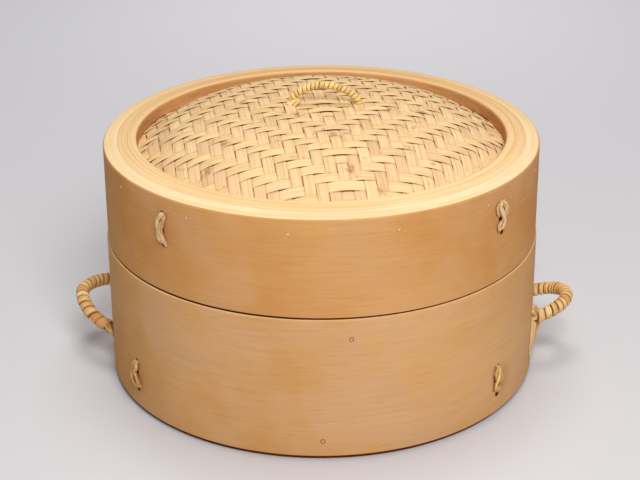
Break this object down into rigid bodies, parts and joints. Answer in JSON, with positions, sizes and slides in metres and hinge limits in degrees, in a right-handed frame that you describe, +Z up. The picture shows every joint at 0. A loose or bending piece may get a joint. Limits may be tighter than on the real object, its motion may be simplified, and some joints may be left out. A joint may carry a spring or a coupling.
{
  "type": "wooden steamer basket",
  "caption": "Round bent-wood steamer basket: a slatted tray with two rattan-wound side handles under a lift-off lid with a woven bamboo dome and a small arched handle.",
  "frame": {"origin": "middle of the tray's underside, on the hoops' axis, at table level", "axes": "+Z up along the hoops' axis, +X towards the right side handle, +Y towards the back"},
  "size_m": [0.3871, 0.3246, 0.2242],
  "materials": {
    "bent_wood": "varnished",
    "woven_bamboo": "natural",
    "split_bamboo": "natural",
    "peg_bamboo": "natural",
    "rattan": "satin",
    "cane": "satin"
  },
  "bodies": {
    "tray": {"tray_outer_hoop": "bent_wood", "tray_inner_hoop": "bent_wood", "tray_foot_ring": "bent_wood", "tray_crossbar_1": "split_bamboo", "tray_crossbar_2": "split_bamboo", "tray_crossbar_3": "split_bamboo", "tray_slat_1": "split_bamboo", "tray_slat_2": "split_bamboo", "tray_slat_3": "split_bamboo", "tray_slat_4": "split_bamboo", "tray_slat_5": "split_bamboo", "tray_slat_6": "split_bamboo", "tray_slat_7": "split_bamboo", "tray_slat_8": "split_bamboo", "tray_slat_9": "split_bamboo", "tray_slat_10": "split_bamboo", "tray_slat_11": "split_bamboo", "tray_handle_core_left": "rattan", "tray_handle_wrap_left": "rattan", "tray_handle_core_right": "rattan", "tray_handle_wrap_right": "rattan", "tray_stitch_1": "cane", "tray_stitch_2": "cane", "tray_stitch_3": "cane", "tray_stitch_4": "cane", "tray_peg_high_1": "peg_bamboo", "tray_peg_high_2": "peg_bamboo", "tray_peg_high_3": "peg_bamboo", "tray_peg_low_1": "peg_bamboo", "tray_peg_low_2": "peg_bamboo", "tray_peg_low_3": "peg_bamboo"},
    "lid": {"lid_outer_hoop": "bent_wood", "lid_middle_hoop": "bent_wood", "lid_inner_ring": "bent_wood", "lid_seat_ring": "bent_wood", "lid_handle_core": "rattan", "lid_handle_wrap": "rattan", "lid_weave": "woven_bamboo", "lid_lining": "woven_bamboo", "lid_rib_across": "split_bamboo", "lid_rib_along": "split_bamboo", "lid_stitch_1": "cane", "lid_stitch_2": "cane", "lid_stitch_3": "cane", "lid_stitch_4": "cane", "lid_peg_1": "peg_bamboo", "lid_peg_2": "peg_bamboo", "lid_peg_3": "peg_bamboo", "lid_peg_4": "peg_bamboo", "lid_peg_5": "peg_bamboo", "lid_peg_6": "peg_bamboo", "lid_peg_7": "peg_bamboo", "lid_peg_8": "peg_bamboo", "lid_peg_9": "peg_bamboo", "lid_peg_10": "peg_bamboo", "lid_peg_11": "peg_bamboo", "lid_peg_12": "peg_bamboo", "lid_peg_13": "peg_bamboo"}
  },
  "joints": [
    {"name": "lid_lift", "type": "slide", "parent": "tray", "child": "lid", "axis": [0, 0, 1], "range_m": [0, 0.2]}
  ]
}
